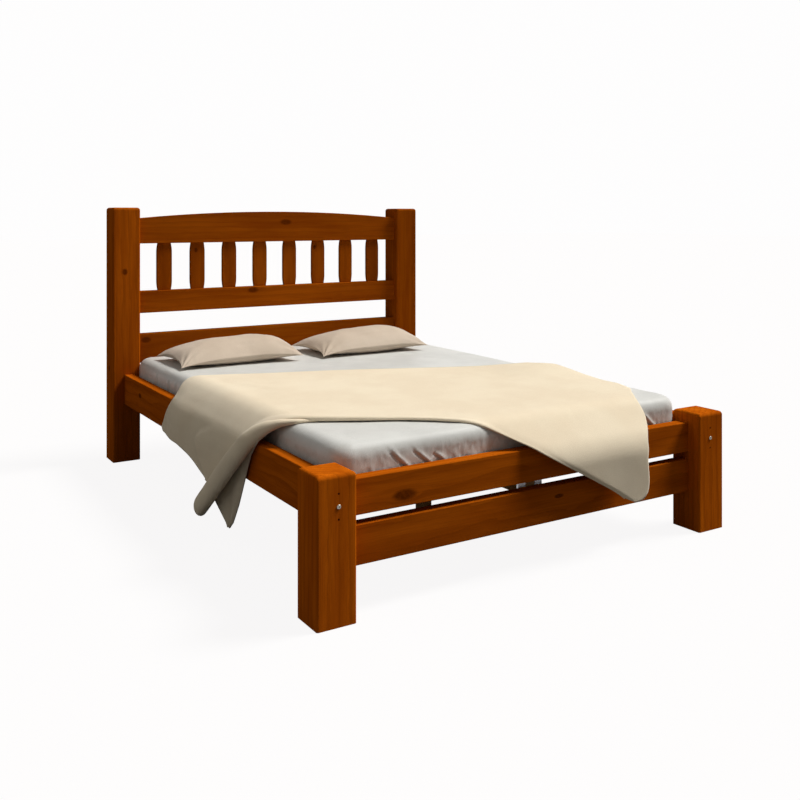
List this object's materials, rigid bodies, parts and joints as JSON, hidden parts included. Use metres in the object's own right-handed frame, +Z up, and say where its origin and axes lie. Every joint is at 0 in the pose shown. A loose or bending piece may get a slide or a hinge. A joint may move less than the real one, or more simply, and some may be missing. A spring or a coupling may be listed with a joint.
{
  "type": "double bed",
  "caption": "Timber bed with square posts, a slatted arched headboard and a low railed footboard, dressed with mattress, pillows and a blanket laid askew.",
  "frame": {"origin": "centre of the bed on the floor, under the middle of its overall box", "axes": "+Z up; +Y from the foot of the bed towards the headboard; +X to the right seen from the foot"},
  "size_m": [1.588, 2.1092, 1.127],
  "materials": {
    "stained_wood": "satin",
    "plain_wood": "matte",
    "dowels": "matte",
    "bolts": "polished",
    "steel": "satin",
    "screws": "satin",
    "mattress": "matte",
    "sheet": "satin",
    "pillow": "matte",
    "pillowcase": "satin",
    "blanket": "matte"
  },
  "bodies": {
    "bed_frame": {"barrel_nuts": "bolts", "beam_hanger_foot": "steel", "beam_hanger_head": "steel", "bed_bolts": "bolts", "bed_slat_1": "plain_wood", "bed_slat_10": "plain_wood", "bed_slat_11": "plain_wood", "bed_slat_12": "plain_wood", "bed_slat_13": "plain_wood", "bed_slat_2": "plain_wood", "bed_slat_3": "plain_wood", "bed_slat_4": "plain_wood", "bed_slat_5": "plain_wood", "bed_slat_6": "plain_wood", "bed_slat_7": "plain_wood", "bed_slat_8": "plain_wood", "bed_slat_9": "plain_wood", "bed_slat_screws": "screws", "centre_beam": "plain_wood", "centre_leg_1": "plain_wood", "centre_leg_2": "plain_wood", "foot_post_left": "stained_wood", "foot_post_right": "stained_wood", "footboard_lower_rail": "stained_wood", "footboard_upper_rail": "stained_wood", "hanger_screws": "screws", "head_end_rail": "stained_wood", "head_post_left": "stained_wood", "head_post_right": "stained_wood", "headboard_lower_rail": "stained_wood", "headboard_middle_rail": "stained_wood", "headboard_slat_1": "stained_wood", "headboard_slat_2": "stained_wood", "headboard_slat_3": "stained_wood", "headboard_slat_4": "stained_wood", "headboard_slat_5": "stained_wood", "headboard_slat_6": "stained_wood", "headboard_slat_7": "stained_wood", "headboard_slat_8": "stained_wood", "headboard_top_rail": "stained_wood", "ledger_screws": "screws", "leg_screws": "screws", "rail_dowels": "dowels", "side_rail_left": "stained_wood", "side_rail_right": "stained_wood", "slat_ledger_left": "plain_wood", "slat_ledger_right": "plain_wood"},
    "mattress": {"mattress": "mattress", "fitted_sheet": "sheet"},
    "pillow_left": {"pillow_left": "pillow", "pillowcase_left": "pillowcase"},
    "pillow_right": {"pillow_right": "pillow", "pillowcase_right": "pillowcase"},
    "blanket": {"blanket": "blanket"}
  },
  "joints": [
    {"name": "mattress_lift", "type": "slide", "parent": "bed_frame", "child": "mattress", "axis": [0, 0, 1], "range_m": [0, 0.85]},
    {"name": "pillow_left_lift", "type": "slide", "parent": "mattress", "child": "pillow_left", "axis": [0, 0, 1], "range_m": [0, 0.7]},
    {"name": "pillow_right_lift", "type": "slide", "parent": "mattress", "child": "pillow_right", "axis": [0, 0, 1], "range_m": [0, 0.7]},
    {"name": "blanket_lift", "type": "slide", "parent": "mattress", "child": "blanket", "axis": [0, 0, 1], "range_m": [0, 0.45]}
  ]
}
